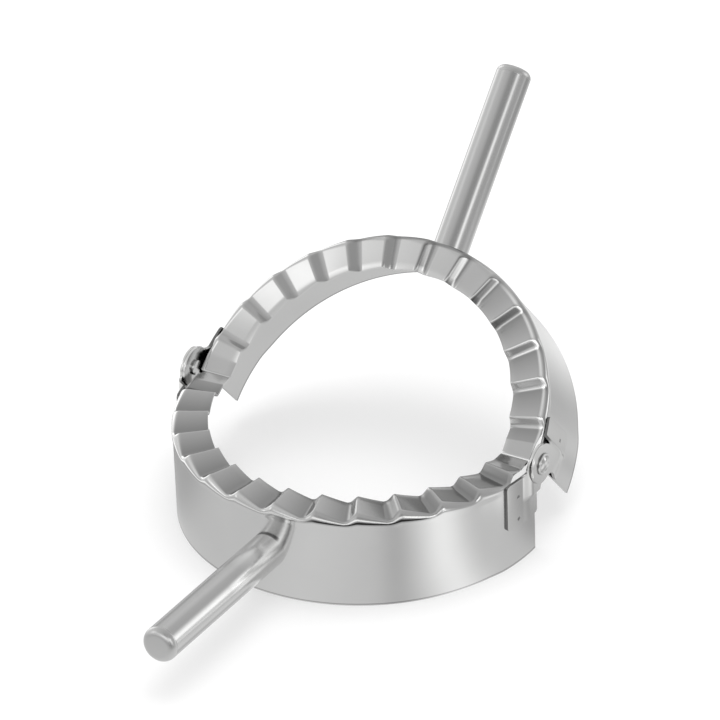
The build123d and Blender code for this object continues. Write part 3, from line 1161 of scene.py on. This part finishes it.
@dataclass
class Studio:
    """Floor, lamps, surround and the camera at the photograph's viewpoint."""

    azimuth: float = math.radians(30.756)
    elevation: float = math.radians(31.488)
    roll: float = math.radians(-1.98)
    distance: float = 1.7253
    aside: float = -2.161 * MM
    above: float = 43.548 * MM
    focal_pixels: float = 5506.2
    picture_pixels: float = 720.0
    sensor: float = 36.0
    clip_end: float = 50.0
    floor_size: float = 12.0
    floor_grey: float = 0.6
    floor_lift: float = 0.37
    near_floor: float = 0.9
    far_floor: float = 0.5
    darkest_floor: float = 0.04
    near_reach: float = 0.11
    far_reach: float = 0.28
    sky_low: float = 0.78
    sky_high: float = 0.66
    darkest_sky: float = 0.05
    right_slope: float = 0.18
    lamp_place: tuple[float, float, float] = (0.1, 0.1, 1.3)
    lamp_target: tuple[float, float, float] = (0.0, 0.0, 0.03)
    lamp_size: Pair = (1.0, 1.0)
    lamp_watts: float = 6.0
    # Azimuth, elevation, half width, half height and level of each.
    glows: tuple[Glow, ...] = (
        Glow(67, 29, 10, 11, 1.5),
        Glow(71, 4, 10, 34, 1.0),
        Glow(138, 7, 14, 22, 1.3),
        Glow(-110, -2, 14, 13, 0.4),
        Glow(-120, 13, 13, 20, 1.1),
        Glow(-145, 8, 11, 16, -0.4),
        Glow(-165, 38, 14, 14, 0.12),
        Glow(-66, 30, 12, 14, 0.22),
        Glow(-53, 27, 10, 12, 0.95),
        Glow(40, -1, 17, 18, -0.4),
        Glow(20, 27, 42, 13, 1.2),
        Glow(40, 52, 40, 14, -0.2),
    )
    # Azimuth, half width, level, start and stop of each.
    patches: tuple[FloorPatch, ...] = (
        FloorPatch(67, 14, 0.58, 0.3, 0.1),
        FloorPatch(46, 9, -0.16, 0.3, 0.1),
        FloorPatch(108, 12, -0.32, 0.16, 0.1),
        FloorPatch(-72, 24, -0.28, 0.16, 0.1),
        FloorPatch(10, 26, 0.1, 0.16, 0.1),
        FloorPatch(131, 5, -0.12, 0.18, 0.13),
        FloorPatch(151, 11, -0.14, 0.2, 0.15),
        FloorPatch(173, 15, 0.28, 0.06, 0.12),
        FloorPatch(95, 9, 0.5, 0.088, 0.1),
        FloorPatch(-92, 40, 0.6, 0.088, 0.12),
        FloorPatch(-102, 24, -0.5, 0.1, 0.088),
        FloorPatch(119, 20, 0.55, 0.1, 0.15),
        FloorPatch(126, 24, -0.55, 0.34, 0.5),
        FloorPatch(-116, 30, 0.8, 0.2, 0.36),
        FloorPatch(138, 24, 0.9, 0.4, 1.0),
        FloorPatch(36, 34, -0.35, 0.13, 0.17),
    )

    def camera(self) -> None:
        """Places the camera, fitted to the photograph."""
        back = Vector((
            math.sin(self.azimuth) * math.cos(self.elevation),
            -math.cos(self.azimuth) * math.cos(self.elevation),
            math.sin(self.elevation),
        ))
        level = Vector((math.cos(self.azimuth), math.sin(self.azimuth), 0.0))
        upright = back.cross(level)
        right = level * math.cos(self.roll) + upright * math.sin(self.roll)
        up = upright * math.cos(self.roll) - level * math.sin(self.roll)
        place = back * self.distance + right * self.aside + up * self.above + Vector((0, HINGE.y, 0))
        data = bpy.data.cameras.new("camera")
        data.sensor_width = self.sensor
        data.lens = self.focal_pixels * self.sensor / self.picture_pixels
        data.clip_end = self.clip_end
        camera = placed("camera", data)
        camera.matrix_world = Matrix.Translation(place) @ Matrix((right, up, back)).transposed().to_4x4()
        bpy.context.scene.camera = camera

    def floor(self) -> None:
        """A plain pale floor; the metal mirrors it as a bright sheet that falls off with distance."""
        shape = bmesh.new()
        bmesh.ops.create_grid(shape, x_segments=1, y_segments=1, size=self.floor_size / 2)
        mesh = bpy.data.meshes.new("floor")
        shape.to_mesh(mesh)
        shape.free()
        material = bpy.data.materials.new("pale_floor")
        material.use_nodes = True
        shader = Shader(material.node_tree)
        x, y, _ = shader.axes(shader.coordinates())
        radius = (x * x + y * y) ** 0.5
        away = zone(radius, self.near_reach, self.far_reach)
        level = away * (self.far_floor - self.near_floor) + self.near_floor
        for patch in self.patches:
            level = level + patch.share(x, y, radius)
        level = level.at_least(self.darkest_floor)
        paint = shader.node("BsdfDiffuse", {"Color": grey(self.floor_grey)})
        lift = shader.node("Emission", {"Color": grey(1.0), "Strength": self.floor_lift})
        seen = shader.node("AddShader", {0: paint, 1: lift})
        mirrored = shader.node("Emission", {"Color": shader.join(level, level, level)})
        shown = shader.node("MixShader", {0: shader.glossy(), 1: seen, 2: mirrored})
        shader.node("OutputMaterial", {"Surface": shown})
        mesh.materials.append(material)
        placed("floor", mesh)

    def world(self) -> None:
        """A white surround, which the metal mirrors as a soft grey tent with bright and dark patches."""
        world = bpy.data.worlds.new("surround")
        world.use_nodes = True
        bpy.context.scene.world = world
        shader = Shader(world.node_tree)
        x, y, z = shader.axes(shader.coordinates("Generated"))
        tent = z.at_least(0.0) * (self.sky_high - self.sky_low) + self.sky_low - x * self.right_slope
        for glow in self.glows:
            tent = tent + glow.share(x, y, z)
        level = tent.at_least(self.darkest_sky)
        seen = shader.node(
            "Mix", {0: shader.glossy(), 6: grey(1.0), 7: shader.join(level, level, level)},
            {"data_type": "RGBA"}, out=2,
        )
        sky = shader.node("Background", {"Color": seen, "Strength": 1.0})
        shader.node("OutputWorld", {"Surface": sky})

    def lamp(self) -> None:
        """Hangs a soft lamp that looks at the mold and that the metal doesn't mirror."""
        data = bpy.data.lights.new("overhead", "AREA")
        data.shape = "RECTANGLE"
        data.size, data.size_y = self.lamp_size
        data.energy = self.lamp_watts
        lamp = placed("overhead", data)
        lamp.location = self.lamp_place
        aim = Vector(self.lamp_target) - Vector(self.lamp_place)
        lamp.rotation_euler = aim.to_track_quat("-Z", "Y").to_euler()
        lamp.visible_glossy = False

    def build(self) -> None:
        """Sets up the whole studio."""
        self.camera()
        self.floor()
        self.world()
        self.lamp()
        bpy.context.scene.view_settings.view_transform = "Standard"


def main() -> None:
    """Builds the studio and every piece of the mold."""
    logging.basicConfig(level=logging.INFO)
    Studio().build()
    seats = (
        Seat(Side.FRONT, "front_half", math.pi, 0.0),
        Seat(Side.REAR, "rear_half", 0.0, LIFT),
    )
    for seat in seats:
        front = seat.side is Side.FRONT
        if front:
            shell = CrimpShell(
                seat, valley_shade=0.5, steep_shade=0.7, valley_fade=(180.0, 181.0), painted_rim_light=0.95,
            )
        else:
            shell = CrimpShell(
                seat, rim_softness=1.0, foot_span=(-1.0, 0.024), painted_edge_light=1.0, painted_glint=1.1,
            )
        log.info("made %s", shell.build().name)
        leaf_material = LEAF_STEEL.material(seat)
        for kind in LeafKind:
            log.info("made %s", HingeLeaf(seat, kind).build(leaf_material).name)
        for piece in Handle(seat, painted_light_share=1.0 if front else 0.0).build():
            log.info("made %s", piece.name)
    rivet_material = RIVET_STEEL.material()
    for hand in Hand:
        log.info("made %s", HingeRivet(hand, "front_half").build(rivet_material).name)


if __name__ == "__main__":
    main()
